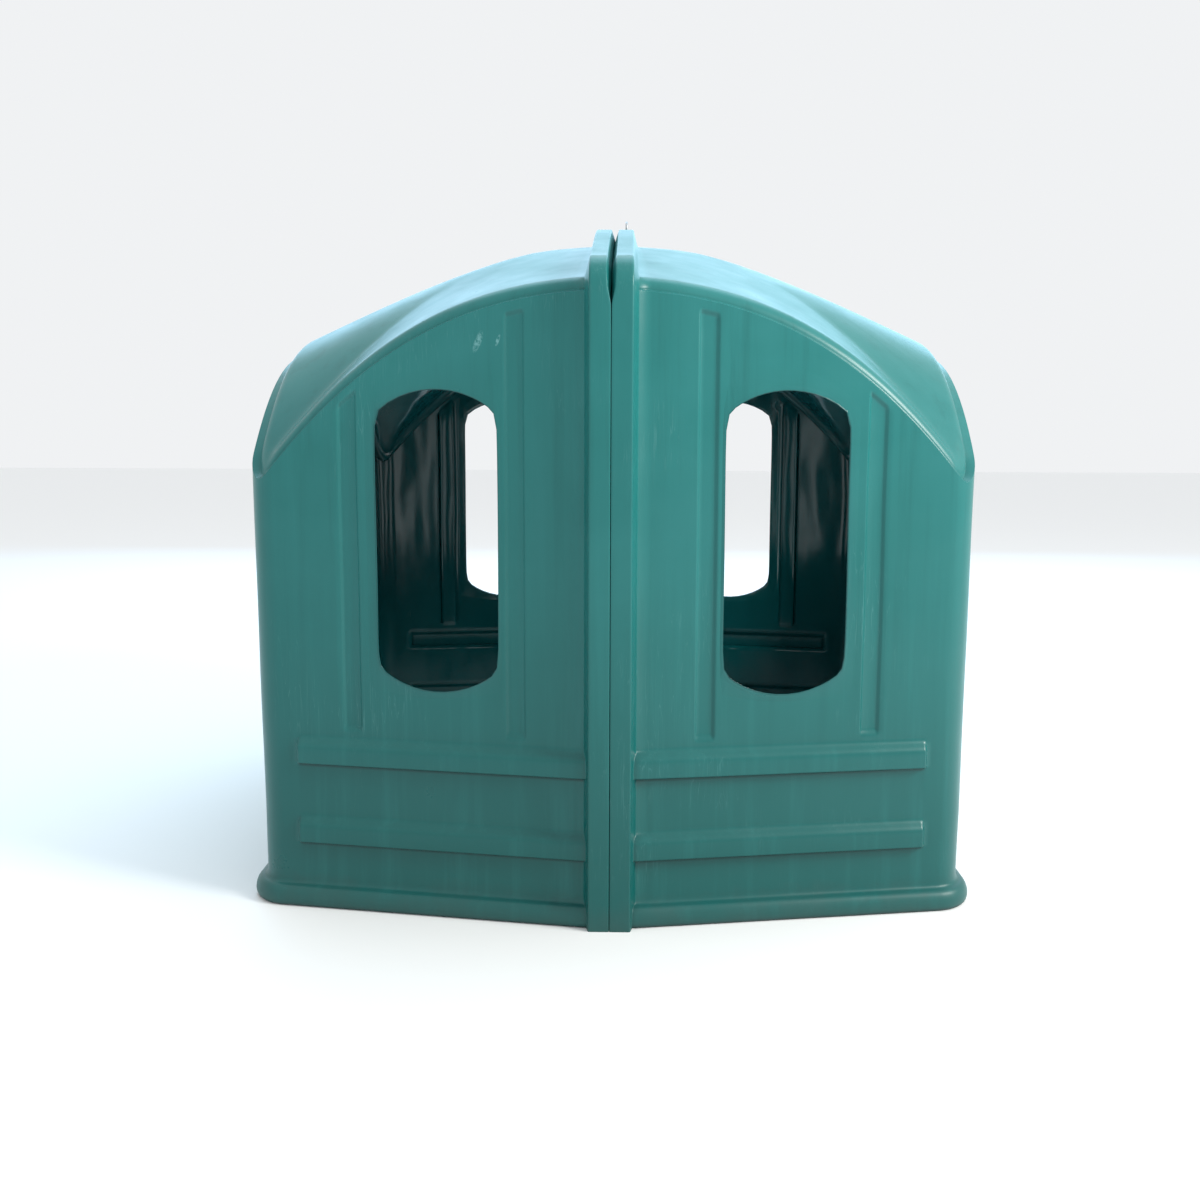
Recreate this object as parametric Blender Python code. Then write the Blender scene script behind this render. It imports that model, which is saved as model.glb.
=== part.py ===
"""Moulded plastic livestock hut made of two half shells bolted together.

The seam plane is x = 0, the front faces -Y and the ground is z = 0.
Each half shell is one skin: a rim that stands on the ground, walls with
stiffening ribs and grooves, a cross-vaulted roof, and a hollow seam rib whose
seam-side leg is the bolted flange. The bolts sit inside the hollow ribs.
"""
import math

import bmesh
import bpy
from mathutils import Matrix, Vector

# Driving dimensions, in metres.
HALF_WIDTH = 1.000        # centre line to the roof edge at the side
CORNER_Y = 0.850          # centre line to the front wall, at the roof edge
BOW = 0.159               # how much further out the front wall is at the seam
CORNER_RADIUS = 0.100
SKIN = 0.008              # wall thickness
HALF_GAP = 0.0003         # each half stands this far off the seam plane

SIDE_X = 1.028            # centre line to the outer face of a side wall
SIDE_DRAFT = 0.010        # a side wall leans out by this much up to DRAFT_TOP
DRAFT_TOP = 1.300
ROOF_TOP = 1.964          # skin height in the middle of the roof
CORNER_DROP = 0.701       # fall of the roof from the middle to a corner
CORNER_POWER = 1.83
FRONT_LIFT = 0.500        # height of the front and back arches above a corner
SIDE_LIFT = 0.426         # height of the side arches above a corner
LIFT_POWER = 2.16
FRONT_ARCH_POWER = 2.50
SIDE_ARCH_POWER = 2.85
CROWN_SOFTNESS = 0.167    # share of the roof over which its peak is flattened
RIDGE_FALL = 0.038        # straight fall of the roof from the seam to the side
RIDGE_SOFTNESS = 0.020
EDGE_RADIUS = 0.030       # rounding where the roof turns down into the wall
FRONT_LEDGE = 0.012       # the wall stands this far outside the roof edge
SIDE_LEDGE = 0.028
LEDGE_SLOPE = 0.4

RIM_PROFILE = (           # (distance outside the wall, height)
    (-0.008, 0.000), (0.024, 0.000), (0.035, 0.014),
    (0.034, 0.038), (0.020, 0.055), (0.005, 0.070), (0.000, 0.104),
)
BAND_BOTTOMS = (0.184, 0.416)   # undersides of the two horizontal ribs
BAND_PROFILE = ((0.000, 0.0), (0.005, 0.9), (0.052, 1.0), (0.080, 0.0))
BAND_DEPTH = 0.022
GROOVE_DEPTH = 0.007
GROOVE_BOTTOM = 0.520
GROOVE_RAMP = 0.005
GROOVE_BELOW_ARCH = 0.040

RIB_FOOT = 0.073          # half width of the seam rib where it leaves the skin
RIB_FACE = 0.056          # half width of the seam rib's flat top
RIB_HEIGHT = 0.054
RIB_EDGE = 0.008          # chamfer of the seam rib's outer edges
SEAM_EDGE = 0.003         # chamfer beside the seam
CHANNEL = 0.011           # the upper flange leans back this far along the roof
FLANGE_BELOW = 0.016      # the flange reaches this far inside the skin's outer face
FLANGE_STRAIGHT = 0.020   # height of the upright, bolted part of the flange

FRONT_WINDOW_X = 0.4795   # middle of a front or back window
SIDE_WINDOW_Y = 0.408     # middle of a side window
FRONT_PANEL = {
    "rib_start": 0.080, "rib_end": 0.886,
    "grooves": ((0.231, 0.289), (0.699, 0.757)), "window": FRONT_WINDOW_X,
}
SIDE_PANEL = {
    "rib_start": None, "rib_end": 0.660,
    "grooves": ((0.120, 0.176), (0.640, 0.696)), "window": SIDE_WINDOW_Y,
}

WINDOW_WIDTH = 0.347
WINDOW_LOW = 0.707        # straight sides start here
WINDOW_HIGH = 1.408       # and end here
WINDOW_RISE = 0.066       # height of the arched ends

BOLT_RADIUS = 0.005
HEAD_ACROSS_FLATS = 0.017
HEAD_HEIGHT = 0.0064
NUT_HEIGHT = 0.0084
WASHER_RADIUS = 0.011
WASHER_THICKNESS = 0.002
THREAD_PAST_NUT = 0.004
FIT = 0.0003              # clearance between neighbouring pieces
BOLT_LEVEL = 0.005        # bolt axis above the skin's outer face
FRONT_BOLT_HEIGHTS = (0.16, 0.63, 1.10, 1.57)
ROOF_BOLT_PLACES = (-0.78, -0.26, 0.26, 0.78)

EYE_X = 0.035             # the lifting eye stands on the right half's seam rib
EYE_Y = 0.0
EYE_ROD = 0.004
EYE_RING = 0.021          # radius of the ring's centre line

GREEN = (0.055, 0.215, 0.190)
ZINC = (0.62, 0.63, 0.64)


def clear_scene():
    """Remove whatever the scene holds."""
    for item in list(bpy.data.objects):
        bpy.data.objects.remove(item, do_unlink=True)


def make_material(name, colour, roughness, metallic):
    """A plain Principled material."""
    material = bpy.data.materials.new(name)
    material.use_nodes = True
    shader = material.node_tree.nodes["Principled BSDF"]
    shader.inputs["Base Color"].default_value = (*colour, 1.0)
    shader.inputs["Roughness"].default_value = roughness
    shader.inputs["Metallic"].default_value = metallic
    material.diffuse_color = (*colour, 1.0)
    return material


def add_object(name, mesh, material):
    """Link a mesh as a named object with its own material."""
    thing = bpy.data.objects.new(name, mesh)
    thing.data.materials.append(material)
    bpy.context.collection.objects.link(thing)
    return thing


def wall_y(x):
    """Distance of the front or back wall from the middle: a shallow V in plan."""
    return CORNER_Y + BOW * (1.0 - x / HALF_WIDTH)


def softened(m):
    """m with its corner at zero rounded off, still 0 at 0 and 1 at 1."""
    soft = CROWN_SOFTNESS
    return (math.hypot(m, soft) - soft) / (math.hypot(1.0, soft) - soft)


def roof_z(x, y):
    """Height of the cross vault before its edge is rounded.

    m is the larger and n the smaller of the two distances from the middle, as
    fractions of the way to the wall. The diagonals fall with a power of m, and
    each quarter is lifted above them by an arch that dies out where n meets m.
    A slight straight fall to either side leaves a soft ridge along the seam.
    """
    u = abs(x) / HALF_WIDTH
    v = abs(y) / wall_y(abs(x))
    m = max(u, v, 1e-6)
    n = min(u, v)
    lift, power = (FRONT_LIFT, FRONT_ARCH_POWER) if v >= u else (SIDE_LIFT, SIDE_ARCH_POWER)
    fall = CORNER_DROP * softened(m) ** CORNER_POWER
    raised = lift * softened(m) ** LIFT_POWER * (1.0 - (n / m) ** power)
    ridge = RIDGE_FALL * (math.hypot(u, RIDGE_SOFTNESS) - RIDGE_SOFTNESS)
    return ROOF_TOP - fall + raised - ridge


def edge_drop(distance):
    """Extra fall of the rounded roof edge, a quarter circle, near the wall."""
    t = min(max(distance, 0.0), EDGE_RADIUS)
    return EDGE_RADIUS - math.sqrt(EDGE_RADIUS ** 2 - (EDGE_RADIUS - t) ** 2)


def ledge(normal):
    """How far the wall stands outside the roof edge: more at the sides."""
    return FRONT_LEDGE + (SIDE_LEDGE - FRONT_LEDGE) * normal.x ** 2


def panel_stops(panel, start, end):
    """Places across a wall panel where its surface changes."""
    stops = {start, end, panel["rib_end"], panel["rib_end"] + 0.014, panel["window"]}
    if panel["rib_start"]:
        stops |= {panel["rib_start"], panel["rib_start"] + 0.008}
    for inner, outer in panel["grooves"]:
        stops |= {inner, inner + GROOVE_RAMP, outer - GROOVE_RAMP, outer}
    return sorted(stops)


def ramp(value, low, high):
    """0 at low, 1 at high, straight between; works in both directions."""
    return min(max((value - low) / (high - low), 0.0), 1.0)


def rib_share(panel, s):
    """How much of the horizontal ribs' depth is there, at s across the panel."""
    share = ramp(s, panel["rib_end"] + 0.014, panel["rib_end"])
    if panel["rib_start"]:
        share *= ramp(s, panel["rib_start"], panel["rib_start"] + 0.008)
    return share


def groove_share(panel, s):
    """How much of the grooves' depth is there, at s across the panel."""
    share = 0.0
    for inner, outer in panel["grooves"]:
        into = ramp(s, inner, inner + GROOVE_RAMP)
        out_of = ramp(s, outer, outer - GROOVE_RAMP)
        share = max(share, min(into, out_of))
    return share


def quarter_plan():
    """Wall plan from the seam rib to the middle of the side, front right.

    Each item is (position, outward normal, rib share, groove share).
    """
    slope = BOW / HALF_WIDTH
    along = Vector((1.0, slope)).normalized()
    front_normal = Vector((along.y, -along.x))
    side_normal = Vector((1.0, 0.0))
    turn = front_normal.angle(side_normal)
    cut = CORNER_RADIUS * math.tan(turn / 2.0)
    corner = Vector((SIDE_X, -wall_y(SIDE_X)))
    front_end = corner - along * cut
    side_start = corner + Vector((0.0, cut))
    centre = side_start - side_normal * CORNER_RADIUS
    plan = []
    for x in panel_stops(FRONT_PANEL, RIB_FOOT, front_end.x):
        here = Vector((x, -wall_y(x)))
        plan.append((here, front_normal, rib_share(FRONT_PANEL, x), groove_share(FRONT_PANEL, x)))
    first = math.atan2(front_normal.y, front_normal.x)
    for step in range(1, 5):
        angle = first * (1.0 - step / 5.0)
        normal = Vector((math.cos(angle), math.sin(angle)))
        plan.append((centre + normal * CORNER_RADIUS, normal, 0.0, 0.0))
    for s in reversed(panel_stops(SIDE_PANEL, 0.0, -side_start.y)):
        here = Vector((SIDE_X, -s))
        plan.append((here, side_normal, rib_share(SIDE_PANEL, s), groove_share(SIDE_PANEL, s)))
    return plan


def half_plan():
    """The right half's wall plan, from the front seam rib to the back one."""
    front = quarter_plan()
    back = [(Vector((p.x, -p.y)), Vector((n.x, -n.y)), r, g) for p, n, r, g in reversed(front[:-1])]
    return front + back


def wall_column(place, normal, rib, groove):
    """Points up one wall column: rim, ribs, grooved wall and ledge."""
    arch = roof_z(place.x, place.y) - EDGE_RADIUS
    rows = [(off, z) for off, z in RIM_PROFILE]
    for bottom in BAND_BOTTOMS:
        rows += [(BAND_DEPTH * rib * share, bottom + up) for up, share in BAND_PROFILE]
    sunk = -GROOVE_DEPTH * groove
    rows += [(0.0, GROOVE_BOTTOM - 0.008), (sunk, GROOVE_BOTTOM)]
    rows += [(sunk, arch - GROOVE_BELOW_ARCH), (0.0, arch - GROOVE_BELOW_ARCH + 0.008)]
    step = ledge(normal)
    rows += [(0.0, arch), (-step, arch + LEDGE_SLOPE * step)]
    draft = SIDE_DRAFT * normal.x ** 2
    points = []
    for off, z in rows:
        out = off - draft * ramp(z, DRAFT_TOP, 0.0)
        points.append(Vector((place.x + normal.x * out, place.y + normal.y * out, z)))
    return points


def roof_column(place, normal):
    """Points from the roof's edge inwards, towards the middle of the seam."""
    edge = place - normal * ledge(normal)
    span = math.hypot(edge.x - RIB_FOOT, edge.y)
    inward = (0.005, 0.014, EDGE_RADIUS)
    shares = [1.0 - d / span for d in inward] + [0.84, 0.68, 0.52, 0.34, 0.16, 0.04]
    points = []
    for share in shares:
        x = RIB_FOOT + (edge.x - RIB_FOOT) * share
        y = edge.y * share
        z = roof_z(x, y) - edge_drop((1.0 - share) * span)
        points.append(Vector((x, y, z)))
    return points


def seam_frames(points):
    """Base point and outward normal of the seam rib for each point of its foot.

    Up the wall the rib is straight and ignores the rim and the ledge; over the
    roof it follows the skin, square to it.
    """
    out_y = wall_y(RIB_FOOT)
    arch = roof_z(RIB_FOOT, out_y) - EDGE_RADIUS
    frames = []
    for index, point in enumerate(points):
        if point.z <= arch + FRONT_LEDGE and abs(point.y) > out_y - 2.0 * FRONT_LEDGE:
            side = math.copysign(1.0, point.y)
            frames.append((Vector((0.0, side * out_y, point.z)), Vector((0.0, side, 0.0))))
            continue
        ahead = points[index + 1]
        behind = points[index - 1]
        run = Vector((0.0, ahead.y - behind.y, ahead.z - behind.z)).normalized()
        frames.append((Vector((0.0, point.y, point.z)), Vector((0.0, -run.z, run.y))))
    return frames


def rib_section(lean):
    """The seam rib's section: (x, height above the skin) from foot to flange."""
    inner = HALF_GAP + lean
    return (
        (RIB_FACE + RIB_EDGE * 0.4, RIB_HEIGHT - RIB_EDGE),
        (RIB_FACE - RIB_EDGE * 0.6, RIB_HEIGHT),
        (inner + SEAM_EDGE, RIB_HEIGHT),
        (inner, RIB_HEIGHT - SEAM_EDGE),
        (HALF_GAP, FLANGE_STRAIGHT),
        (HALF_GAP, -FLANGE_BELOW),
    )


def half_shell_mesh():
    """The right half's outer skin as one open sheet, facing outwards."""
    bm = bmesh.new()
    columns = []
    for place, normal, rib, groove in half_plan():
        points = wall_column(place, normal, rib, groove) + roof_column(place, normal)
        columns.append([bm.verts.new(point) for point in points])
    for left, right in zip(columns, columns[1:]):
        for row in range(len(left) - 1):
            bm.faces.new((left[row], right[row], right[row + 1], left[row + 1]))
    middle = bm.verts.new((RIB_FOOT, 0.0, roof_z(0.0, 0.0)))
    for left, right in zip(columns, columns[1:]):
        bm.faces.new((left[-1], right[-1], middle))
    foot = columns[0][1:] + [middle] + columns[-1][:0:-1]
    add_seam_rib(bm, foot)
    mesh = bpy.data.meshes.new("half_shell")
    bm.to_mesh(mesh)
    bm.free()
    return mesh


def add_seam_rib(bm, foot):
    """Carry the seam rib's section along the skin's seam-side edge."""
    frames = seam_frames([vert.co.copy() for vert in foot])
    arch = roof_z(RIB_FOOT, wall_y(RIB_FOOT)) - EDGE_RADIUS
    sections = [rib_section(CHANNEL * ramp(base.z, arch - 0.05, arch + 0.02)) for base, _ in frames]
    previous = foot
    for level in range(len(sections[0])):
        line = []
        for (base, normal), section in zip(frames, sections):
            x, height = section[level]
            place = base + normal * height
            line.append(bm.verts.new((x, place.y, place.z)))
        for index in range(len(foot) - 1):
            bm.faces.new((previous[index], previous[index + 1], line[index + 1], line[index]))
        previous = line


def window_cutter(name, middle, across, depth):
    """A prism with straight sides and arched ends, across a wall."""
    half = WINDOW_WIDTH / 2.0
    radius = (half ** 2 + WINDOW_RISE ** 2) / (2.0 * WINDOW_RISE)
    sweep = math.asin(half / radius)
    outline = []
    for centre_z, sign in ((WINDOW_HIGH + WINDOW_RISE - radius, 1), (WINDOW_LOW - WINDOW_RISE + radius, -1)):
        for step in range(9):
            angle = sweep * (1.0 - step / 4.0) * sign
            outline.append((radius * math.sin(angle), centre_z + sign * radius * math.cos(angle)))
    bm = bmesh.new()
    verts = [bm.verts.new((middle.x + across.x * s, middle.y + across.y * s, z)) for s, z in outline]
    face = bm.faces.new(verts)
    normal = Vector((across.y, -across.x, 0.0))
    for vert in verts:
        vert.co -= normal * depth / 2.0
    moved = bmesh.ops.extrude_face_region(bm, geom=[face])["geom"]
    bmesh.ops.translate(bm, verts=[g for g in moved if isinstance(g, bmesh.types.BMVert)], vec=normal * depth)
    bmesh.ops.recalc_face_normals(bm, faces=bm.faces)
    mesh = bpy.data.meshes.new(name)
    bm.to_mesh(mesh)
    bm.free()
    return guide(name, mesh)


def window_cutters():
    """Cutters for the right half's windows: front, back and two at the side."""
    cutters = []
    for sign, name in ((-1, "front"), (1, "back")):
        middle = Vector((FRONT_WINDOW_X, sign * wall_y(FRONT_WINDOW_X)))
        across = Vector((1.0, -sign * BOW / HALF_WIDTH)).normalized()
        cutters.append(window_cutter(f"cut_{name}_window", middle, across, 0.12))
    for sign, name in ((-1, "near"), (1, "far")):
        middle = Vector((SIDE_X, sign * SIDE_WINDOW_Y))
        cutters.append(window_cutter(f"cut_side_window_{name}", middle, Vector((0.0, 1.0)), 0.12))
    return cutters


def ring_of(bm, x, centre, radius, corners=0.0):
    """Twelve vertices around an axis along X: round, or hexagonal with corners."""
    ring = []
    for step in range(12):
        angle = math.pi * step / 6.0
        size = corners * (1.0 if step % 2 == 0 else math.cos(math.pi / 6.0)) if corners else radius
        y = centre.y + size * math.cos(angle)
        z = centre.z + size * math.sin(angle)
        ring.append(bm.verts.new((x, y, z)))
    return ring


def skin_rings(bm, rings, closed):
    """Faces from ring to ring; a closed loop of rings, or one with flat ends."""
    faces = []
    pairs = list(zip(rings, rings[1:]))
    if closed:
        pairs.append((rings[-1], rings[0]))
    else:
        faces += [bm.faces.new(rings[0]), bm.faces.new(rings[-1])]
    for first, second in pairs:
        for step in range(12):
            after = (step + 1) % 12
            faces.append(bm.faces.new((first[step], first[after], second[after], second[step])))
    bmesh.ops.recalc_face_normals(bm, faces=faces)


def add_ring(bm, centre, low, high, hole, radius=0.0, corners=0.0):
    """A washer or a nut, from low to high along X, with a round hole."""
    outer = [ring_of(bm, x, centre, radius, corners) for x in (low, high)]
    inner = [ring_of(bm, x, centre, hole) for x in (high, low)]
    skin_rings(bm, outer + inner, closed=True)


def add_bolt(bm, centre):
    """A hexagon-head bolt: the head is in the left rib, the thread in the right."""
    head = -(HALF_GAP + SKIN + WASHER_THICKNESS + 2 * FIT)
    tip = -head + FIT + NUT_HEIGHT + THREAD_PAST_NUT
    corners = HEAD_ACROSS_FLATS / math.sqrt(3.0)
    rings = [ring_of(bm, x, centre, 0.0, corners) for x in (head - HEAD_HEIGHT, head)]
    rings += [ring_of(bm, x, centre, BOLT_RADIUS) for x in (head, tip - 0.001)]
    rings.append(ring_of(bm, tip, centre, BOLT_RADIUS - 0.001))
    skin_rings(bm, rings, closed=False)


def add_head_washer(bm, centre):
    """Washer between the bolt's head and the left flange."""
    inner = HALF_GAP + SKIN + FIT
    add_ring(bm, centre, -inner - WASHER_THICKNESS, -inner, BOLT_RADIUS + FIT, radius=WASHER_RADIUS)


def add_nut_washer(bm, centre):
    """Washer between the nut and the right flange."""
    inner = HALF_GAP + SKIN + FIT
    add_ring(bm, centre, inner, inner + WASHER_THICKNESS, BOLT_RADIUS + FIT, radius=WASHER_RADIUS)


def add_nut(bm, centre):
    """Hexagon nut in the right rib."""
    inner = HALF_GAP + SKIN + WASHER_THICKNESS + 2 * FIT
    corners = HEAD_ACROSS_FLATS / math.sqrt(3.0)
    add_ring(bm, centre, inner, inner + NUT_HEIGHT, BOLT_RADIUS + FIT, corners=corners)


def new_mesh(name, draw, *places):
    """A mesh drawn at each place."""
    bm = bmesh.new()
    for place in places:
        draw(bm, place)
    mesh = bpy.data.meshes.new(name)
    bm.to_mesh(mesh)
    bm.free()
    return mesh


def bolt_places():
    """Bolt axes along each run of the seam, in the hollow of the ribs."""
    y_wall = wall_y(RIB_FOOT) + BOLT_LEVEL
    front = [Vector((0.0, -y_wall, z)) for z in FRONT_BOLT_HEIGHTS]
    back = [Vector((0.0, y_wall, z)) for z in FRONT_BOLT_HEIGHTS]
    roof = [Vector((0.0, y, roof_z(RIB_FOOT, y) + BOLT_LEVEL)) for y in ROOF_BOLT_PLACES]
    return {"front": front, "roof": roof, "back": back}


def add_hole(bm, centre):
    """A round hole's shape, through both flanges."""
    reach = HALF_GAP + SKIN + 0.005
    rings = [ring_of(bm, x, centre, BOLT_RADIUS + 2 * FIT) for x in (-reach, reach)]
    skin_rings(bm, rings, closed=False)


def guide(name, mesh):
    """A cutter: linked, drawn as wire, and no part of the hut."""
    cutter = bpy.data.objects.new(name, mesh)
    cutter.hide_render = True
    cutter.display_type = "WIRE"
    bpy.context.collection.objects.link(cutter)
    return cutter


def eye_base():
    """Top of the seam rib where the lifting eye stands."""
    return roof_z(RIB_FOOT, EYE_Y) + RIB_HEIGHT


def build_shells(cutters, green):
    """The two half shells: the left one is the right one turned half round."""
    mesh = half_shell_mesh()
    for name, turn in (("right_shell", 0.0), ("left_shell", math.pi)):
        shell = add_object(name, mesh.copy(), green[name])
        shell.data.transform(Matrix.Rotation(turn, 4, "Z"))
        thick = shell.modifiers.new("skin", "SOLIDIFY")
        thick.thickness = SKIN
        thick.offset = -1.0
        thick.use_even_offset = True
        thick.use_rim = True
        for cutter in cutters[name]:
            cut = shell.modifiers.new(cutter.name, "BOOLEAN")
            cut.operation = "DIFFERENCE"
            cut.solver = "EXACT"
            cut.object = cutter


def turned_copies(cutters):
    """The same cutters turned half round about the upright centre line."""
    turned = []
    for cutter in cutters:
        mesh = cutter.data.copy()
        mesh.transform(Matrix.Rotation(math.pi, 4, "Z"))
        turned.append(guide(cutter.name + "_left", mesh))
    return turned


def build_lifting_eye(zinc):
    """An eye bolt through the top of the right seam rib, ring edge-on to the front."""
    top = eye_base()
    ring_z = top + 0.006 + EYE_RING
    bpy.ops.mesh.primitive_torus_add(
        major_radius=EYE_RING, minor_radius=EYE_ROD, major_segments=20, minor_segments=8,
        location=(EYE_X, EYE_Y, ring_z), rotation=(0.0, math.pi / 2.0, 0.0))
    ring = bpy.context.object
    ring.name = "lifting_eye"
    ring.data.materials.append(zinc["lifting_eye"])
    shank_low = top - SKIN - 0.024
    shank_high = ring_z - EYE_RING
    bpy.ops.mesh.primitive_cylinder_add(
        vertices=12, radius=EYE_ROD, depth=shank_high - shank_low,
        location=(EYE_X, EYE_Y, (shank_high + shank_low) / 2.0))
    shank = bpy.context.object
    shank.name = "cut_eye_shank"
    shank.hide_render = True
    shank.display_type = "WIRE"
    join = ring.modifiers.new("shank", "BOOLEAN")
    join.operation = "UNION"
    join.solver = "EXACT"
    join.object = shank
    ring.data.shade_smooth()


def build_eye_fasteners(zinc):
    """Washer and nut under the rib's top, on the lifting eye's shank."""
    axis = Vector((0.0, 0.0, 0.0))
    hole = EYE_ROD + FIT
    washer = (WASHER_THICKNESS, {"radius": WASHER_RADIUS})
    nut = (NUT_HEIGHT, {"corners": 0.0085})
    high = eye_base() - SKIN - FIT
    for name, (thickness, shape) in (("eye_washer", washer), ("eye_nut", nut)):
        mesh = new_mesh(name, lambda bm, place: add_ring(bm, place, -thickness, 0.0, hole, **shape), axis)
        mesh.transform(Matrix.Translation((EYE_X, EYE_Y, high)) @ Matrix.Rotation(-math.pi / 2.0, 4, "Y"))
        add_object(name, mesh, zinc[name])
        high -= thickness + FIT


def eye_hole_cutter():
    """Hole through the rib's top for the lifting eye's shank."""
    bpy.ops.mesh.primitive_cylinder_add(
        vertices=12, radius=EYE_ROD + FIT, depth=0.04, location=(EYE_X, EYE_Y, eye_base()))
    cutter = bpy.context.object
    cutter.name = "cut_eye_hole"
    cutter.hide_render = True
    cutter.display_type = "WIRE"
    return cutter


def build_fasteners(places):
    """A bolt, two washers and a nut at each place of each seam run."""
    kinds = (("bolt", add_bolt), ("head_washer", add_head_washer),
             ("nut_washer", add_nut_washer), ("nut", add_nut))
    for run, centres in places.items():
        for number, centre in enumerate(centres, 1):
            for kind, draw in kinds:
                name = f"{run}_{kind}_{number}"
                add_object(name, new_mesh(name, draw, centre), make_material(name, ZINC, 0.35, 1.0))


def build():
    """Make the whole hut."""
    clear_scene()
    green = {name: make_material(name, GREEN, 0.45, 0.0) for name in ("right_shell", "left_shell")}
    eye_parts = ("lifting_eye", "eye_washer", "eye_nut")
    zinc = {name: make_material(name, ZINC, 0.35, 1.0) for name in eye_parts}
    places = bolt_places()
    centres = [centre for run in places.values() for centre in run]
    holes = guide("cut_bolt_holes", new_mesh("cut_bolt_holes", add_hole, *centres))
    windows = window_cutters()
    cutters = {
        "right_shell": windows + [holes, eye_hole_cutter()],
        "left_shell": turned_copies(windows) + [holes],
    }
    build_shells(cutters, green)
    build_fasteners(places)
    build_lifting_eye(zinc)
    build_eye_fasteners(zinc)


build()
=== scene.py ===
"""Looks of a moulded polyethylene livestock hut, around its fixed CAD frame.

The hut is two alike half shells bolted along a seam at x = 0. Each half is
drawn here as one closed skin worked out on a grid, and the fasteners as
turned profiles. Everything is in metres, +Z up, with the front at -Y.
"""
import math

import bpy
import numpy as np
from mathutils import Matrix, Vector


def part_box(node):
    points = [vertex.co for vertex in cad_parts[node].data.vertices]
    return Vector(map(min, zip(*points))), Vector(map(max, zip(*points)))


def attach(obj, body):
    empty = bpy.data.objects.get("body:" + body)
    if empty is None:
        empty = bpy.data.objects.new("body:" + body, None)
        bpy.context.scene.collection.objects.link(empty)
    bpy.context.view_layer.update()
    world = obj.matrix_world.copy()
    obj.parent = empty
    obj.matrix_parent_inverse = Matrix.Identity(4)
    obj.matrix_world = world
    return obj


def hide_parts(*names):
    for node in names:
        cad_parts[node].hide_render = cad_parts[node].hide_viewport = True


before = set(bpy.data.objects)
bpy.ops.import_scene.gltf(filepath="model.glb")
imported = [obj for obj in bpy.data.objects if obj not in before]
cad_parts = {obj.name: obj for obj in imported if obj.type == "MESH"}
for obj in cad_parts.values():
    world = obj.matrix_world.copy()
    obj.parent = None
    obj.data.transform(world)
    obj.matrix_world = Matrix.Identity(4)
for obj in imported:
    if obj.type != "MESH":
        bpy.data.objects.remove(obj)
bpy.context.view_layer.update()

# The hut's plan and roof, as the CAD has them.
HALF_WIDTH = 1.000
CORNER_Y = 0.850
BOW = 0.159
SIDE_X = 1.028
SIDE_DRAFT = 0.010
DRAFT_TOP = 1.300
CORNER_RADIUS = 0.100
SKIN = 0.008
ROOF_TOP = 1.964
CORNER_DROP = 0.701
CORNER_POWER = 1.83
FRONT_LIFT, FRONT_ARCH_POWER = 0.500, 2.50
SIDE_LIFT, SIDE_ARCH_POWER = 0.426, 2.85
LIFT_POWER = 2.16
CROWN_SOFTNESS = 0.167
RIDGE_FALL = 0.038
RIDGE_SOFTNESS = 0.020
CREASE_SOFTNESS = 0.022
EDGE_RADIUS = 0.030
FRONT_LEDGE = 0.012
SIDE_LEDGE = 0.028
LEDGE_SLOPE = 0.4

# Rim, horizontal ribs and grooves.
RIM_CORNERS = (
    (-0.008, 0.000), (0.010, 0.000), (0.032, 0.000), (0.038, 0.026),
    (0.026, 0.056), (0.002, 0.060), (0.000, 0.086), (0.000, 0.112),
)
BAND_BOTTOMS = (0.184, 0.416)
BAND_CORNERS = (
    (-0.010, 0.0), (0.000, 0.0), (0.003, 0.95), (0.012, 1.0),
    (0.046, 1.0), (0.060, 0.86), (0.078, 0.0), (0.090, 0.0),
)
BAND_DEPTH = 0.022
GROOVE_DEPTH = 0.007
GROOVE_RAMP = 0.009
GROOVE_BOTTOM = 0.514
GROOVE_END = 0.022
GROOVE_BELOW_ARCH = 0.042
WALL_MIDDLE_START = 0.545
BAND_END_RAMP = 0.014

# The seam rib.
RIB_FOOT = 0.073
CHANNEL = 0.011
RIB_CORNERS = (           # (x, height above the skin, share of the channel's lean)
    (0.0730, 0.000, 0.0), (0.0680, 0.010, 0.0), (0.0600, 0.043, 0.0), (0.0580, 0.054, 0.0),
    (0.0480, 0.054, 0.0), (0.0180, 0.054, 0.4), (0.0022, 0.054, 1.0), (0.0003, 0.052, 1.0),
    (0.0003, 0.022, 0.1), (0.0003, 0.014, 0.0), (0.0003, -0.004, 0.0), (0.0003, -0.016, 0.0),
)

# Windows: straight sides with arched ends.
WINDOW_HALF = 0.1735
WINDOW_MIDDLE = 1.0575
WINDOW_REACH = 0.4165     # from the middle to the top of an arched end
WINDOW_RISE = 0.066
WINDOW_CORNER_POWER = 26
WINDOW_LIP = 0.0028
WINDOW_MARGIN = 0.013
FRONT_PANEL = {
    "rib_end": 0.886,
    "grooves": ((0.231, 0.289), (0.699, 0.757)), "window": 0.4795,
}
SIDE_PANEL = {
    "rib_end": 0.660,
    "grooves": ((0.120, 0.176), (0.640, 0.696)), "window": 0.408,
}

# Fasteners.
BOLT_RADIUS = 0.005
THREAD_PITCH = 0.0015
THREAD_DEPTH = 0.0009
HEX_CORNERS = 0.017 / math.sqrt(3.0)
HEAD_HEIGHT = 0.0064
WASHER_RADIUS = 0.011
EYE_CORNERS = 0.0085
SIDES = 36                # steps round a turned piece
BOLT_ROWS, EYE_ROWS = 150, 130
RING_STEPS, ROD_STEPS = 56, 18
RUNS = ("front", "roof", "back")
BOLTS_PER_RUN = 4

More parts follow.
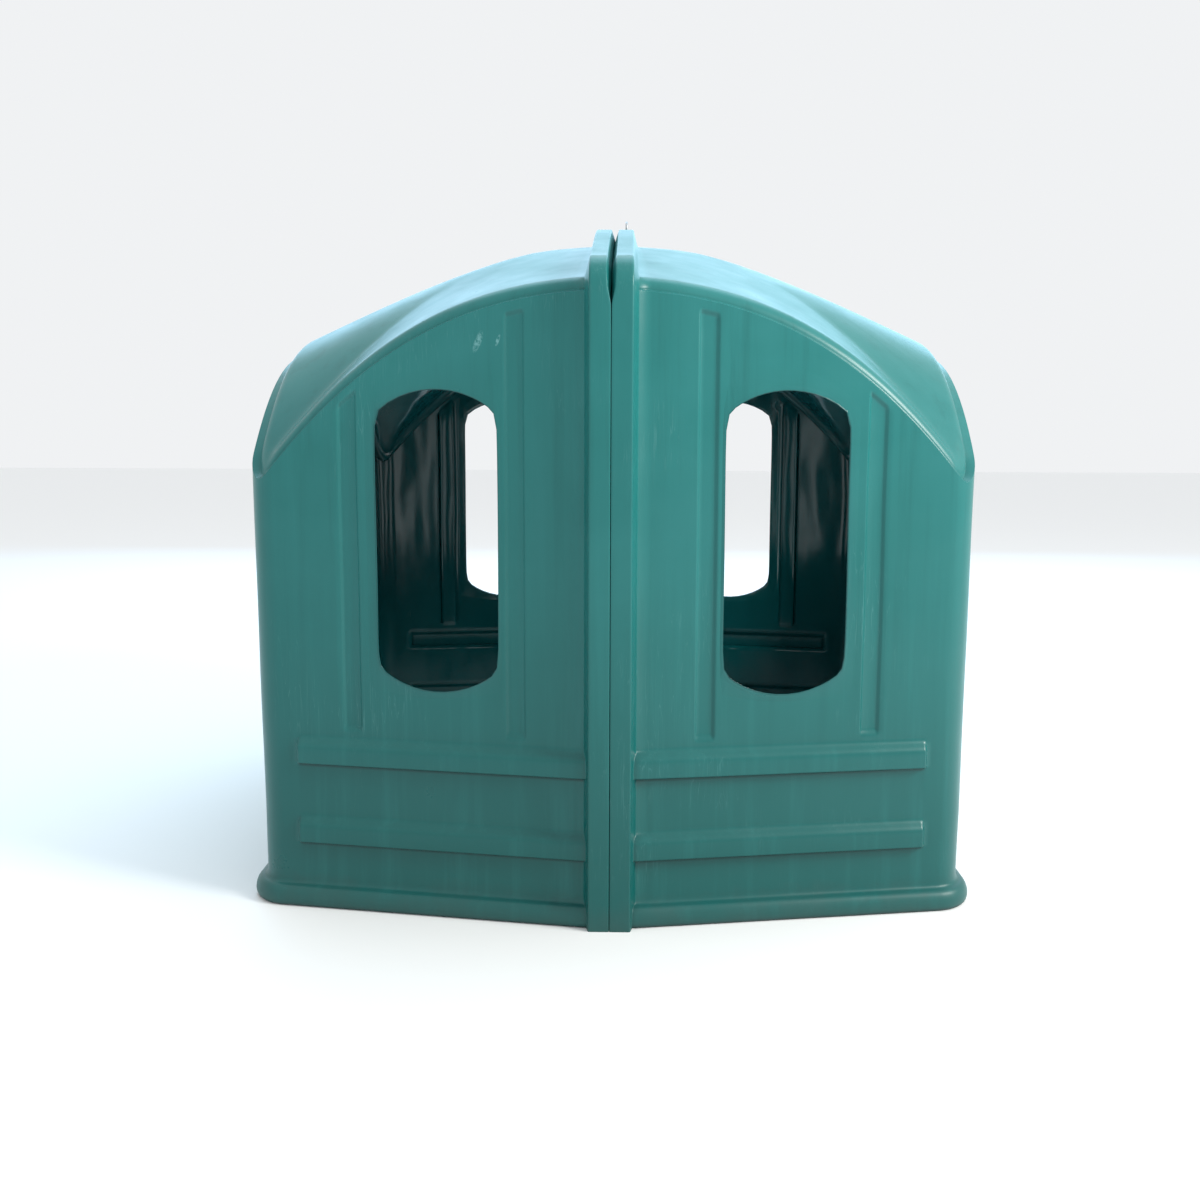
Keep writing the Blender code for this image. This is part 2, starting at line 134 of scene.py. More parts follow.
# Camera.
CAMERA_PLACE = (0.049, -4.15, 1.389)
CAMERA_LENS = 35.5
CAMERA_PITCH = math.radians(6.99)
CAMERA_YAW = math.radians(0.80)
CAMERA_ROLL = math.radians(0.23)
CAMERA_SHIFT = (-0.0104, -0.0275)


def ease(t):
    """0 below 0, 1 above 1, and a smooth cubic step between."""
    t = np.clip(t, 0.0, 1.0)
    return t * t * (3.0 - 2.0 * t)


def rounded(corners, rounds=2):
    """Corner-cut polyline: each round keeps the ends and puts new points a
    quarter and three quarters of the way along every side."""
    line = np.asarray(corners, float)
    for _ in range(rounds):
        first = line[:-1] * 0.75 + line[1:] * 0.25
        second = line[:-1] * 0.25 + line[1:] * 0.75
        cut = np.stack([first, second], axis=1).reshape(-1, line.shape[1])
        line = np.vstack([line[:1], cut[1:-1], line[-1:]])
    return line


# ---------------------------------------------------------------- hut surface

def wall_y(x):
    """Front wall's distance from the middle: a straight line in x, furthest at the seam."""
    return CORNER_Y + BOW * (1.0 - x / HALF_WIDTH)


def softened(m):
    """hypot(m, softness), shifted and scaled to stay 0 at 0 and 1 at 1."""
    soft = CROWN_SOFTNESS
    return (np.hypot(m, soft) - soft) / (math.hypot(1.0, soft) - soft)


def roof_z(x, y):
    """Cross vault: the diagonals fall with a power of m, the larger share of
    the way to the wall, and each quarter is lifted by an arch in n / m. The
    creases are rounded over a little way to both sides of u = v."""
    u = np.abs(x) / HALF_WIDTH
    v = np.abs(y) / wall_y(np.abs(x))
    apart = np.hypot(u - v, CREASE_SOFTNESS * ease((u + v) / 0.8))
    m = np.maximum((u + v + apart) / 2.0, 1e-6)
    n = np.maximum((u + v - apart) / 2.0, 0.0)
    to_front = ease(0.5 + (v - u) / (2.0 * CREASE_SOFTNESS))
    lift = SIDE_LIFT + (FRONT_LIFT - SIDE_LIFT) * to_front
    power = SIDE_ARCH_POWER + (FRONT_ARCH_POWER - SIDE_ARCH_POWER) * to_front
    fall = CORNER_DROP * softened(m) ** CORNER_POWER
    raised = lift * softened(m) ** LIFT_POWER * (1.0 - (n / m) ** power)
    ridge = RIDGE_FALL * (np.hypot(u, RIDGE_SOFTNESS) - RIDGE_SOFTNESS)
    return ROOF_TOP - fall + raised - ridge


def ledge_of(normal_x):
    """How far the wall stands outside the roof edge: more at the sides."""
    return FRONT_LEDGE + (SIDE_LEDGE - FRONT_LEDGE) * normal_x ** 2


def edge_drop(distance):
    """Quarter circle by which the roof turns down at its edge."""
    t = np.clip(distance, 0.0, EDGE_RADIUS)
    return EDGE_RADIUS - np.sqrt(EDGE_RADIUS ** 2 - (EDGE_RADIUS - t) ** 2)


def stops(start, end, coarse, features):
    """Sorted places from start to end, coarse apart, with a close run of
    places across each feature (middle, reach). A reach of 0 adds one place."""
    runs = [np.arange(start, end, coarse), [end]]
    for middle, reach in features:
        runs.append(middle + reach * np.array([-1.5, -1.0, -0.4, 0.4, 1.0]))
    places = np.concatenate(runs)
    places = places[(places >= start - 1e-9) & (places <= end + 1e-9)]
    places = np.unique(np.round(places, 4))
    keep = np.concatenate([[True], np.diff(places) > 0.0011])
    keep[-1] = True
    return places[keep]


def panel_places(panel, start, end):
    """Places across one panel: close together at groove sides and rib ends, and
    one just outside each side of the window."""
    half = GROOVE_RAMP / 2.0
    features = [(panel["rib_end"] + BAND_END_RAMP / 2.0, BAND_END_RAMP / 2.0)]
    for inner, outer in panel["grooves"]:
        features += [(inner + half, half), (outer - half, half)]
    beside = WINDOW_HALF + WINDOW_MARGIN
    features += [(panel["window"] - beside, 0.0), (panel["window"] + beside, 0.0)]
    return stops(start, end, 0.035, features)


def band_share(panel, s):
    """Share of the horizontal ribs' depth: 1 along them, eased to 0 at their outer ends."""
    return 1.0 - ease((s - panel["rib_end"]) / BAND_END_RAMP)


def groove_share(panel, s):
    """Share of the grooves' depth: eased from 0 to 1 inside each groove's sides."""
    share = np.zeros_like(s)
    for inner, outer in panel["grooves"]:
        into = ease((s - inner) / GROOVE_RAMP)
        out_of = ease((outer - s) / GROOVE_RAMP)
        share = np.maximum(share, into * out_of)
    return share


def quarter_plan():
    """Plan of the front right quarter: straight bowed front, round corner,
    straight side. Rows of (x, y, normal x, normal y, band share, groove share)."""
    along = np.array([1.0, BOW / HALF_WIDTH])
    along /= np.hypot(*along)
    front_normal = np.array([along[1], -along[0]])
    turn = math.acos(front_normal[0])
    cut = CORNER_RADIUS * math.tan(turn / 2.0)
    corner_y = -wall_y(SIDE_X)
    front_end = np.array([SIDE_X, corner_y]) - along * cut
    side_start = corner_y + cut
    x = panel_places(FRONT_PANEL, RIB_FOOT, front_end[0])
    ones = np.ones_like(x)
    front = [x, -wall_y(x), front_normal[0] * ones, front_normal[1] * ones,
             band_share(FRONT_PANEL, x), groove_share(FRONT_PANEL, x)]
    angle = -turn * (1.0 - np.linspace(0.0, 1.0, 12)[1:-1])
    none = np.zeros_like(angle)
    corner = [SIDE_X - CORNER_RADIUS * (1.0 - np.cos(angle)),
              side_start + CORNER_RADIUS * np.sin(angle), np.cos(angle), np.sin(angle), none, none]
    s = panel_places(SIDE_PANEL, 0.0, -side_start)[::-1]
    ones = np.ones_like(s)
    side = [SIDE_X * ones, -s, ones, 0.0 * ones,
            band_share(SIDE_PANEL, s), groove_share(SIDE_PANEL, s)]
    return np.concatenate([np.array(front), np.array(corner), np.array(side)], axis=1)


def half_plan():
    """The quarter plan followed by its own mirror image behind."""
    front = quarter_plan()
    back = front[:, -2::-1] * np.array([1, -1, 1, -1, 1, 1])[:, None]
    return np.concatenate([front, back], axis=1)


def wall_rows():
    """Rows up the wall: each has a height rule (base, share of the way to the
    arch, lift above the arch), the depths of rim, bands and grooves, and the
    shares of the ledge's depth inwards and upwards."""
    rim = rounded(RIM_CORNERS)
    band = rounded(BAND_CORNERS)
    rows = [(z, 0.0, 0.0, off, 0.0, 0.0, 0.0, 0.0) for off, z in rim]
    for bottom in BAND_BOTTOMS:
        rows += [(bottom + up, 0.0, 0.0, 0.0, share, 0.0, 0.0, 0.0) for up, share in band]
    top = GROOVE_BOTTOM
    for share in np.linspace(0.0, 1.0, 6):
        rows.append((top + GROOVE_END * share, 0.0, 0.0, 0.0, 0.0, float(ease(share)), 0.0, 0.0))
    for share in np.linspace(0.0, 1.0, 18)[1:-1]:
        rows.append((WALL_MIDDLE_START, float(share), 0.0, 0.0, 0.0, 1.0, 0.0, 0.0))
    for share in np.linspace(0.0, 1.0, 6):
        lift = GROOVE_END * share - GROOVE_BELOW_ARCH
        rows.append((0.0, 1.0, lift, 0.0, 0.0, 1.0 - float(ease(share)), 0.0, 0.0))
    ledge = rounded(((0.0, -0.020), (0.0, -0.004), (0.0, 0.0), (0.15, 0.04), (0.9, 0.34), (1.0, LEDGE_SLOPE)))
    rows += [(0.0, 1.0, min(lift, 0.0), 0.0, 0.0, 0.0, off, max(lift, 0.0)) for off, lift in ledge[1:]]
    return np.array(rows).T


def roof_shares():
    """Shares of the way out from the middle: close together at the rounded edge."""
    near = 1.0 - np.array([0.0002, 0.0010, 0.0025, 0.005, 0.0085, 0.013, 0.019, 0.026, 0.034, 0.048])
    return np.concatenate([near, np.linspace(0.935, 0.06, 16), [0.018, 0.0]])


def skin_grid():
    """Outer skin of the right half on a (row, column) grid, and its layout.

    Columns: the front seam rib from flange to foot, the wall plan, and the back
    rib from foot to flange. Rows: up the wall, then in to the roof's middle.
    """
    px, py, nx, ny, bands, grooves = half_plan()
    base, share, lift, rim, band, groove, step_in, step_up = (part[:, None] for part in wall_rows())
    arch = roof_z(px, py) - EDGE_RADIUS
    step = ledge_of(nx)
    rising = WALL_MIDDLE_START + share * (arch - GROOVE_BELOW_ARCH - WALL_MIDDLE_START)
    z = np.where(share == 0.0, base, np.where(share == 1.0, arch + lift + step_up * step, rising))
    off = rim + BAND_DEPTH * band * bands - GROOVE_DEPTH * groove * grooves - step_in * step
    off = off - SIDE_DRAFT * nx ** 2 * np.clip(1.0 - z / DRAFT_TOP, 0.0, 1.0)
    wall = np.stack([px + nx * off, py + ny * off, z], axis=-1)
    shares = roof_shares()[:, None]
    edge_x = px - nx * step
    edge_y = py - ny * step
    edge_x[0] = edge_x[-1] = RIB_FOOT
    span = np.hypot(edge_x - RIB_FOOT, edge_y)
    x = RIB_FOOT + (edge_x - RIB_FOOT) * shares
    y = edge_y * shares
    roof = np.stack([x, y, roof_z(x, y) - edge_drop((1.0 - shares) * span)], axis=-1)
    return np.concatenate([wall, roof]), (rim + BAND_DEPTH * band)[:, 0], len(wall)


def seam_rib(foot, swell, wall_count):
    """The seam rib's skin beside one seam edge, as (row, section) points.

    The section is carried along the edge, square to it over the roof; x comes
    from the section, leaning back along the roof to leave the channel. The rim
    and the horizontal ribs, which swell the wall rows, run into its flank.
    """
    section = rounded(RIB_CORNERS)
    rows = len(foot)
    side = np.sign(foot[0, 1])
    out_y = wall_y(RIB_FOOT)
    arch = float(roof_z(RIB_FOOT, out_y)) - EDGE_RADIUS
    base_y = np.abs(foot[:, 1]).copy()
    base_z = foot[:, 2]
    base_y[:wall_count] = out_y
    fade = 1.0 - ease((out_y - FRONT_LEDGE - base_y[wall_count:]) / 0.10)
    base_y[wall_count:] += FRONT_LEDGE * fade
    run_y = np.gradient(base_y)
    run_z = np.gradient(base_z)
    length = np.maximum(np.hypot(run_y, run_z), 1e-9)
    normal_y, normal_z = run_z / length, -run_y / length
    normal_y[:wall_count] = 1.0
    normal_z[:wall_count] = 0.0
    normal_y[-1], normal_z[-1] = 0.0, 1.0
    lean = CHANNEL * ease((base_z - arch + 0.05) / 0.07)
    height = np.repeat(section[None, :, 1], rows, axis=0)
    standing = np.zeros(rows)
    standing[:wall_count] = swell
    outer_flank = np.arange(len(section)) < len(section) // 2
    lifted = np.maximum(height, standing[:, None])
    height = np.where(outer_flank[None], lifted, height)
    x = section[None, :, 0] + lean[:, None] * section[None, :, 2]
    y = side * (base_y[:, None] + normal_y[:, None] * height)
    z = base_z[:, None] + normal_z[:, None] * height
    return np.stack([x, y, np.maximum(z, 0.0)], axis=-1)[:, 1:]


def unit(vectors):
    """Vectors scaled to length one, leaving near-zero ones alone."""
    return vectors / np.maximum(np.linalg.norm(vectors, axis=-1, keepdims=True), 1e-12)


def window_radius(angle):
    """Distance from a window's middle to its outline in each direction: the
    nearer of the straight sides and the arched end, with rounded corners."""
    rise, half = WINDOW_RISE, WINDOW_HALF
    arc = (half ** 2 + rise ** 2) / (2.0 * rise)
    centre = WINDOW_REACH - arc
    side = half / np.maximum(np.abs(np.cos(angle)), 1e-6)
    end = centre * np.abs(np.sin(angle)) + np.sqrt(arc ** 2 - (centre * np.cos(angle)) ** 2)
    power = WINDOW_CORNER_POWER
    return (side ** -power + end ** -power) ** (-1.0 / power)


def window_lip():
    """Section of a window's edge through the skin, as (distance outside the
    outline, depth): a quarter circle at each face."""
    turn = np.linspace(0.0, math.pi / 2.0, 4)
    lip = [(WINDOW_LIP * (1.0 - math.sin(t)), WINDOW_LIP * (1.0 - math.cos(t))) for t in turn]
    return lip + [(off, SKIN - depth) for off, depth in reversed(lip)]


class HalfShell:
    """Gathers the points and triangles of the right half's closed skin."""

    def __init__(self):
        skin, swell, wall_count = skin_grid()
        front = seam_rib(skin[:, 0], swell, wall_count)[:, ::-1]
        back = seam_rib(skin[:, -1], swell, wall_count)
        self.rib_columns = front.shape[1]
        self.outer = np.concatenate([front, skin, back], axis=1)
        self.rows, self.columns = self.outer.shape[:2]
        self.inner = self.outer - SKIN * self.normals()
        self.points = [self.outer.reshape(-1, 3), self.inner.reshape(-1, 3)]
        self.count = 2 * self.rows * self.columns
        self.inside = [np.zeros(self.count // 2), np.ones(self.count // 2)]
        # Painted shade line under the horizontal ribs, on the outer skin only.
        self.painted_shade = [self.shade_under_ribs().ravel(), np.zeros(self.count // 2)]
        self.triangles = []
        self.index = self.joined_index()

    def normals(self):
        """Outward normals from the cross product of the grid's two directions."""
        across = np.gradient(self.outer, axis=1)
        up = np.gradient(self.outer, axis=0)
        normals = unit(np.cross(across, up))
        first, last = self.rib_columns, self.columns - self.rib_columns
        normals[-1, :, 1] = 0.0
        normals[-1, first:last] = (0.0, 0.0, 1.0)
        normals[0] = normals[2]
        normals[1] = normals[2]
        return unit(normals)

    def shade_under_ribs(self):
        """1 on the line just under each horizontal rib: a line of painted shade."""
        shares = np.zeros(self.columns)
        shares[self.rib_columns:-self.rib_columns] = half_plan()[4]
        depth = self.outer[:, :, 2:] - np.array(BAND_BOTTOMS) + 0.0025
        return np.exp(-(depth / 0.0055) ** 2).sum(axis=2) * shares

    def joined_index(self):
        """Point numbers of the grid, with the roof's middle made one point and
        the ribs' first rows, which lie under the flat foot, made one."""
        index = np.arange(self.rows * self.columns).reshape(self.rows, self.columns)
        first, last = self.rib_columns, self.columns - self.rib_columns
        index[-1, first:last] = index[-1, first]
        index[-1, last:] = index[-1, :first][::-1]
        flat = int(np.argmax(self.outer[:, first, 2] > 1e-7)) - 1
        index[:flat, :first] = index[flat, :first]
        index[:flat, last:] = index[flat, last:]
        return index

    def quads(self, a, b, c, d, flip=False):
        """Two triangles for each set of four point numbers."""
        corners = np.stack([np.ravel(v) for v in (a, b, c, d)], axis=1)
        if flip:
            corners = corners[:, ::-1]
        self.triangles += [corners[:, [0, 1, 2]], corners[:, [0, 2, 3]]]

    def sheet(self, holes):
        """Outer and inner skins, leaving out the cells that hold windows."""
        keep = np.ones((self.rows - 1, self.columns - 1), bool)
        for low_row, high_row, low_column, high_column in holes:
            keep[low_row:high_row, low_column:high_column] = False
        cells = [self.index[:-1, :-1], self.index[:-1, 1:], self.index[1:, 1:], self.index[1:, :-1]]
        cells = [corner[keep] for corner in cells]
        shift = self.rows * self.columns
        self.quads(*cells)
        self.quads(*[corner + shift for corner in cells], flip=True)

    def close_edges(self):
        """Strips that join the two skins along the foot and along both flanges."""
        shift = self.rows * self.columns
        foot = self.index[0]
        self.quads(foot[:-1], foot[1:], foot[1:] + shift, foot[:-1] + shift, flip=True)
        for column, flip in ((0, False), (-1, True)):
            edge = self.index[:, column]
            self.quads(edge[:-1], edge[1:], edge[1:] + shift, edge[:-1] + shift, flip=flip)

    def add_points(self, points):
        """Append loops of points and give their numbers, one row for each loop."""
        loops, around = points.shape[:2]
        numbers = self.count + np.arange(loops * around).reshape(loops, around)
        self.points.append(points.reshape(-1, 3))
        self.inside.append(np.repeat(np.linspace(0.0, 1.0, loops), around))
        self.painted_shade.append(np.zeros(loops * around))
        self.count += loops * around
        return numbers

    def window(self, hole, middle, across):
        """Flat rings from the hole in the grid to the window's outline, and a
        rounded lip through the skin's thickness."""
        low_row, high_row, low_column, high_column = hole
        rows = np.arange(low_row, high_row + 1)
        columns = np.arange(low_column, high_column + 1)
        loop = np.concatenate([
            self.index[low_row, columns], self.index[rows[1:], high_column],
            self.index[high_row, columns[::-1][1:]], self.index[rows[::-1][1:-1], low_column]])
        grid = np.concatenate(self.points[:2])
        shift = self.rows * self.columns
        normal = np.array([across[1], -across[0], 0.0])
        middle = np.array([middle[0], middle[1], WINDOW_MIDDLE])
        offset = grid[loop] - middle
        s, z = offset @ np.array([across[0], across[1], 0.0]), offset[:, 2]
        angle = np.arctan2(z, s)
        direction = np.cos(angle)[:, None] * np.array([across[0], across[1], 0.0])
        direction = direction + np.sin(angle)[:, None] * np.array([0.0, 0.0, 1.0])
        radius = window_radius(angle)[:, None]
        rings = [middle + direction * (radius + off) - normal * depth for off, depth in window_lip()]
        reach = np.linalg.norm(grid[loop] - rings[0], axis=1)
        spread = (np.minimum(0.010 / np.maximum(reach, 0.001), 0.3), 0.55)
        outer = [rings[0] + (grid[loop] - rings[0]) * np.reshape(g, (-1, 1)) for g in spread]
        inner = [rings[-1] + (grid[loop + shift] - rings[-1]) * np.reshape(g, (-1, 1)) for g in spread]
        numbers = self.add_points(np.array(outer[::-1] + rings + inner))
        chain = np.vstack([loop, numbers, loop + shift])
        after = np.roll(chain, -1, axis=1)
        self.quads(chain[:-1], after[:-1], after[1:], chain[1:])

    def mesh(self, name, turn):
        """One mesh, turned by turn half-circles about the upright centre line."""
        points = np.concatenate(self.points)
        points = points + relaxed(points)
        points = points * np.array([-1.0, -1.0, 1.0]) if turn else points
        triangles = np.concatenate(self.triangles)
        real = (triangles[:, 0] != triangles[:, 1]) & (triangles[:, 1] != triangles[:, 2])
        triangles = triangles[real & (triangles[:, 0] != triangles[:, 2])]
        used, compact = np.unique(triangles, return_inverse=True)
        mesh = mesh_of(name, points[used], compact.reshape(-1, 3))
        for attribute, parts in (("inside", self.inside), ("painted_shade", self.painted_shade)):
            layer = mesh.attributes.new(attribute, "FLOAT", "POINT")
            layer.data.foreach_set("value", np.concatenate(parts)[used].astype(np.float32))
        return mesh


def relaxed(points):
    """Slight unevenness of a cooled moulding: long, low waves in and out,
    nothing at the seam and at the foot."""
    x, y, z = points.T
    calm = ease((np.abs(x) - 0.10) / 0.15) * ease((z - 0.12) / 0.15)
    wave = np.sin(6.1 * x + 2.3 * z) * np.sin(5.3 * y - 3.9 * z + 0.7)
    wave = wave + 0.6 * np.sin(11.0 * z + 3.1 * x - 2.2 * y)
    out = unit(np.stack([x, y, 0.0 * z], axis=1))
    return out * (0.0011 * calm * wave)[:, None]


def mesh_of(name, points, triangles):
    """A smooth-shaded mesh from arrays."""
    mesh = bpy.data.meshes.new(name)
    mesh.from_pydata(points.tolist(), [], triangles.tolist())
    mesh.shade_smooth()
    mesh.update()
    return mesh


def add_piece(name, mesh, material, nodes):
    """A visible piece that stands for CAD nodes and rides on the hut."""
    piece = bpy.data.objects.new(name, mesh)
    piece.data.materials.append(material)
    bpy.context.collection.objects.link(piece)
    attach(piece, "root")
    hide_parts(*nodes)
    return piece


def window_holes(shell):
    """Grid cells that each window takes, with its middle and its direction."""
    plan = half_plan()
    first = shell.rib_columns
    share = wall_rows()[1]
    rising = np.flatnonzero((share > 0.0) & (share < 1.0))
    low_row, high_row = rising[0], rising[-1] + 1
    along = unit(np.array([1.0, BOW / HALF_WIDTH]))
    holes = []
    for back in (False, True):
        way = -1.0 if back else 1.0
        sign = 1.0 if back else -1.0
        for panel, front in ((FRONT_PANEL, True), (SIDE_PANEL, False)):
            low, high = panel["grooves"][0][1] + 0.002, panel["grooves"][1][0] - 0.002
            on_side = plan[2] > 0.999
            s = np.abs(plan[1]) if not front else plan[0]
            right_face = on_side if not front else ~on_side
            inside = (s > low) & (s < high) & right_face & (plan[1] * sign > 0.0)
            columns = np.flatnonzero(inside) + first
            hole = (low_row, high_row, columns[0], columns[-1])
            if front:
                middle = (panel["window"], sign * wall_y(panel["window"]))
                across = (along[0] * way, along[1])
            else:
                middle = (SIDE_X, sign * panel["window"])
                across = (0.0, 1.0)
            holes.append((hole, middle, across))
    return holes


def build_shells(material):
    """Both halves: the left one is the right one turned half round."""
    shell = HalfShell()
    holes = window_holes(shell)
    shell.sheet([hole for hole, _, _ in holes])
    shell.close_edges()
    for hole, middle, across in holes:
        shell.window(hole, middle, across)
    for name, turn in (("right", 0), ("left", 1)):
        mesh = shell.mesh(f"{name}_half_shell", turn)
        add_piece(f"{name}_half_shell", mesh, material, [f"{name}_shell"])


# ------------------------------------------------------------------ fasteners

def hexagon_radius(radius, corners, angle):
    """The radius, or the distance to the hexagon's flat in that direction if
    that is less: corner radius x cos 30 / cosine of the angle off the flat."""
    sixth = math.pi / 3.0
    folded = np.abs((angle + sixth / 2.0) % sixth - sixth / 2.0)
    flat = corners * math.cos(sixth / 2.0) / np.cos(sixth / 2.0 - folded)
    return np.minimum(radius, flat[None])


def thread_depth(x, angle, start, end):
    """Depth of a thread: a triangle wave of x / pitch minus the share of a
    turn, eased in and out over a millimetre."""
    phase = x / THREAD_PITCH - angle[None] / (2.0 * math.pi)
    tooth = np.abs(2.0 * (phase % 1.0) - 1.0)
    on = ease((x - start) / 0.001) * ease((end - x) / 0.001)
    return THREAD_DEPTH * tooth * on


def turned(profile, corners=0.0, closed=False, thread=None):
    """Surface of a profile (x, radius, hexagon share) turned about the X axis.

    The hexagon share draws the radius in to a six-sided outline, and a thread
    is cut where asked. A closed profile makes a ring; an open one gets ends.
    """
    profile = np.asarray(profile, float)
    x, radius, share = profile[:, 0:1], profile[:, 1:2], profile[:, 2:3]
    angle = np.linspace(0.0, 2.0 * math.pi, SIDES, endpoint=False)
    radius = np.repeat(radius, SIDES, axis=1)
    if corners:
        radius = radius + (hexagon_radius(radius, corners, angle) - radius) * share
    if thread:
        radius = radius - thread_depth(x, angle, *thread) * (profile[:, 1:2] > 0.8 * BOLT_RADIUS)
    x = np.repeat(x, SIDES, axis=1)
    points = np.stack([x, radius * np.cos(angle), radius * np.sin(angle)], axis=-1).reshape(-1, 3)
    index = np.arange(len(points)).reshape(-1, SIDES)
    ahead = np.roll(index, -1, axis=1)
    below = np.roll(index, -1, axis=0) if closed else index[1:]
    top, top_ahead = (index, ahead) if closed else (index[:-1], ahead[:-1])
    cells = np.stack([top, below, np.roll(below, -1, axis=1), top_ahead], axis=-1).reshape(-1, 4)
    triangles = np.concatenate([cells[:, [0, 2, 1]], cells[:, [0, 3, 2]]])
    if not closed:
        low_end, high_end = len(points), len(points) + 1
        points = np.concatenate([points, [[profile[0, 0], 0.0, 0.0], [profile[-1, 0], 0.0, 0.0]]])
        low_cap = np.stack([index[0], np.full(SIDES, low_end), ahead[0]], axis=1)
        high_cap = np.stack([ahead[-1], np.full(SIDES, high_end), index[-1]], axis=1)
        triangles = np.concatenate([triangles, low_cap, high_cap])
    return points, triangles


def copies(shape, places):
    """The same points and triangles at several places, in one array each."""
    points, triangles = shape
    places = np.asarray(places, float)
    moved = (points[None] + places[:, None]).reshape(-1, 3)
    numbers = np.arange(len(places))[:, None, None] * len(points)
    return moved, (triangles[None] + numbers).reshape(-1, 3)


def hexagon_profile(low, high, corners, hole=None, chamfer=0.0012):
    """Profile of a hexagon head or nut with turned-off corners."""
    face = corners * math.cos(math.pi / 6.0) - 0.0002
    outer = [(low, face, 1), (low + chamfer, corners, 1), (high - chamfer, corners, 1), (high, face, 1)]
    if hole is None:
        return outer
    soft = 0.0006
    bore = [(high, hole + soft, 0), (high - soft, hole, 0), (low + soft, hole, 0), (low, hole + soft, 0)]
    return outer + bore


def washer_profile(low, high, radius, hole):
    """Profile of a flat washer with softened edges."""
    soft = 0.0003
    return [(low, radius - soft), (low + soft, radius), (high - soft, radius), (high, radius - soft),
            (high, hole + soft), (high - soft, hole), (low + soft, hole), (low, hole + soft)]


def box_of(node):
    """Lowest and highest corner of a CAD node as arrays."""
    low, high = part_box(node)
    return np.array(low), np.array(high)


def build_fasteners(material_of):
    """Bolts, washers and nuts of each seam run, each kind one piece."""
    for run in RUNS:
        for kind, slot in (("bolt", "zinc_bolt"), ("head_washer", "zinc_washer"),
                           ("nut_washer", "zinc_washer"), ("nut", "zinc_nut")):
            nodes = [f"{run}_{kind}_{number}" for number in range(1, BOLTS_PER_RUN + 1)]
            boxes = [box_of(node) for node in nodes]
            places = [(0.0, (low[1] + high[1]) / 2.0, (low[2] + high[2]) / 2.0) for low, high in boxes]
            low, high = boxes[0][0][0], boxes[0][1][0]
            if kind == "bolt":
                head = low + HEAD_HEIGHT
                shank = np.linspace(head, high - 0.001, BOLT_ROWS)
                profile = hexagon_profile(low, head, HEX_CORNERS)
                profile += [(x, BOLT_RADIUS, 0) for x in shank] + [(high, BOLT_RADIUS - 0.001, 0)]
                shape = turned(profile, HEX_CORNERS, thread=(head + 0.008, high + 0.002))
            elif kind == "nut":
                profile = hexagon_profile(low, high, HEX_CORNERS, BOLT_RADIUS + 0.0002)
                shape = turned(profile, HEX_CORNERS, closed=True)
            else:
                shape = turned(washer_profile(low, high, WASHER_RADIUS, BOLT_RADIUS + 0.0003), closed=True)
            mesh = mesh_of(f"{run}_{kind}s", *copies(shape, places))
            add_piece(f"{run}_{kind}s", mesh, material_of[slot], nodes)


def upright(shape, place):
    """A turned shape stood on end, with its X axis pointing up, at a place."""
    points, triangles = shape
    points = np.stack([-points[:, 2], points[:, 1], points[:, 0]], axis=1)
    return points + np.asarray(place), triangles


def merged(*shapes):
    """Several closed shapes as one set of arrays."""
    points, triangles, count = [], [], 0
    for some_points, some_triangles in shapes:
        points.append(some_points)
        triangles.append(some_triangles + count)
        count += len(some_points)
    return np.concatenate(points), np.concatenate(triangles)


def ring_shape(place, radius, rod):
    """A torus edge-on to the front: a circle of the rod carried round a ring
    in the upright plane along Y."""
    around = np.linspace(0.0, 2.0 * math.pi, RING_STEPS, endpoint=False)[:, None]
    section = np.linspace(0.0, 2.0 * math.pi, ROD_STEPS, endpoint=False)[None]
    reach = radius + rod * np.cos(section)
    sideways = rod * np.sin(section) + 0.0 * around
    points = np.stack([sideways, reach * np.cos(around), reach * np.sin(around)], axis=-1)
    index = np.arange(RING_STEPS * ROD_STEPS).reshape(RING_STEPS, ROD_STEPS)
    ahead, beside = np.roll(index, -1, axis=0), np.roll(index, -1, axis=1)
    both = np.roll(ahead, -1, axis=1)
    cells = np.stack([index, ahead, both, beside], axis=-1).reshape(-1, 4)
    triangles = np.concatenate([cells[:, [0, 1, 2]], cells[:, [0, 2, 3]]])
    return points.reshape(-1, 3) + np.asarray(place), triangles


